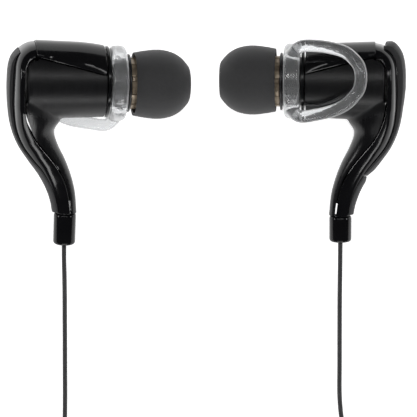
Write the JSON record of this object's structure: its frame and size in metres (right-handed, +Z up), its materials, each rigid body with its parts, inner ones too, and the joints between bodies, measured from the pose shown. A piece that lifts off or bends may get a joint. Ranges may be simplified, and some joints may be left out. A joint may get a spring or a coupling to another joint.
{
  "type": "wired earphones",
  "caption": "Wired in-ear earphones with ear tips, clear stabiliser loops, a remote with buttons, a chin slider, a splitter and a jack plug.",
  "frame": {"origin": "on the table, under the middle of the box round the two earpieces", "axes": "+Z up from the table, +X from the left earpiece to the right one, +Y from the cord towards the earpieces"},
  "size_m": [0.0757, 0.1528, 0.0184],
  "materials": {
    "gloss_black": "gloss",
    "satin_black": "satin",
    "soft_grey": "matte",
    "clear_silicone": "clear",
    "film": "clear",
    "bronze_tint": "satin",
    "steel": "satin",
    "gold_plate": "polished",
    "copper": "satin",
    "cord_jacket": "satin",
    "board_green": "satin"
  },
  "bodies": {
    "earphones": {"left_inner_housing": "satin_black", "left_outer_shell": "gloss_black", "left_top_cover": "gloss_black", "left_cable_sleeve": "satin_black", "left_inner_lead": "cord_jacket", "left_front_ring": "gloss_black", "left_nozzle": "satin_black", "left_nozzle_mesh": "steel", "left_neck_ring": "bronze_tint", "left_driver_frame": "steel", "left_diaphragm": "film", "left_driver_magnet": "steel", "left_voice_coil": "copper", "left_rear_pad": "soft_grey", "right_inner_housing": "satin_black", "right_outer_shell": "gloss_black", "right_top_cover": "gloss_black", "right_cable_sleeve": "satin_black", "right_inner_lead": "cord_jacket", "right_front_ring": "gloss_black", "right_nozzle": "satin_black", "right_nozzle_mesh": "steel", "right_neck_ring": "bronze_tint", "right_driver_frame": "steel", "right_diaphragm": "film", "right_driver_magnet": "steel", "right_voice_coil": "copper", "right_strip_root": "soft_grey", "charge_socket": "steel", "charge_board": "board_green", "cell": "steel", "remote_base": "satin_black", "remote_cover": "gloss_black", "remote_board": "board_green", "splitter": "satin_black", "plug_grip": "satin_black", "plug_insulator": "satin_black", "plug_sleeve": "gold_plate", "plug_ring_rear": "gold_plate", "plug_ring_front": "gold_plate", "plug_tip": "gold_plate", "left_cord_run": "cord_jacket", "left_cord_coil": "cord_jacket", "left_cord_tail": "cord_jacket", "right_cord_run": "cord_jacket", "right_cord_link": "cord_jacket", "right_cord_coil": "cord_jacket", "right_cord_tail": "cord_jacket", "main_cord_run": "cord_jacket", "main_cord_coil": "cord_jacket", "main_cord_tail": "cord_jacket"},
    "left_tip": {"left_ear_tip": "soft_grey"},
    "right_tip": {"right_ear_tip": "soft_grey"},
    "left_loop": {"left_stabiliser": "clear_silicone"},
    "right_loop": {"right_stabiliser": "clear_silicone"},
    "flap": {"right_port_flap": "soft_grey"},
    "volume_up": {"button_up": "satin_black"},
    "play": {"button_play": "satin_black"},
    "volume_down": {"button_down": "satin_black"},
    "slider": {"chin_slider": "satin_black"}
  },
  "joints": [
    {"name": "left_tip_pull", "type": "slide", "parent": "earphones", "child": "left_tip", "axis": [0.9869, 0, -0.1616], "range_m": [0, 0.0026]},
    {"name": "right_tip_pull", "type": "slide", "parent": "earphones", "child": "right_tip", "axis": [-0.9974, 0.007, -0.0715], "range_m": [0, 0.0026]},
    {"name": "left_stabiliser_turn", "type": "hinge", "parent": "earphones", "child": "left_loop", "pos_m": [-0.01681, 0.01125, 0.00843], "axis": [0.9869, 0, -0.1616], "range_deg": [-4, 50]},
    {"name": "right_stabiliser_turn", "type": "hinge", "parent": "earphones", "child": "right_loop", "pos_m": [0.01617, 0.01121, 0.00717], "axis": [-0.9974, 0.007, -0.0715], "range_deg": [-36, 12]},
    {"name": "flap_hinge", "type": "hinge", "parent": "earphones", "child": "flap", "pos_m": [0.03066, -0.00627, 0.00483], "axis": [0.0715, 0.1903, -0.9791], "range_deg": [0, 75]},
    {"name": "slider_travel", "type": "slide", "parent": "earphones", "child": "slider", "axis": [0, 1, 0], "range_m": [-0.0014, 0.008]},
    {"name": "volume_up_press", "type": "slide", "parent": "earphones", "child": "volume_up", "axis": [0, 0, -1], "range_m": [0, 0.0003], "stiffness_N_per_m": 500},
    {"name": "play_press", "type": "slide", "parent": "earphones", "child": "play", "axis": [0, 0, -1], "range_m": [0, 0.0003], "stiffness_N_per_m": 500},
    {"name": "volume_down_press", "type": "slide", "parent": "earphones", "child": "volume_down", "axis": [0, 0, -1], "range_m": [0, 0.0003], "stiffness_N_per_m": 500}
  ]
}
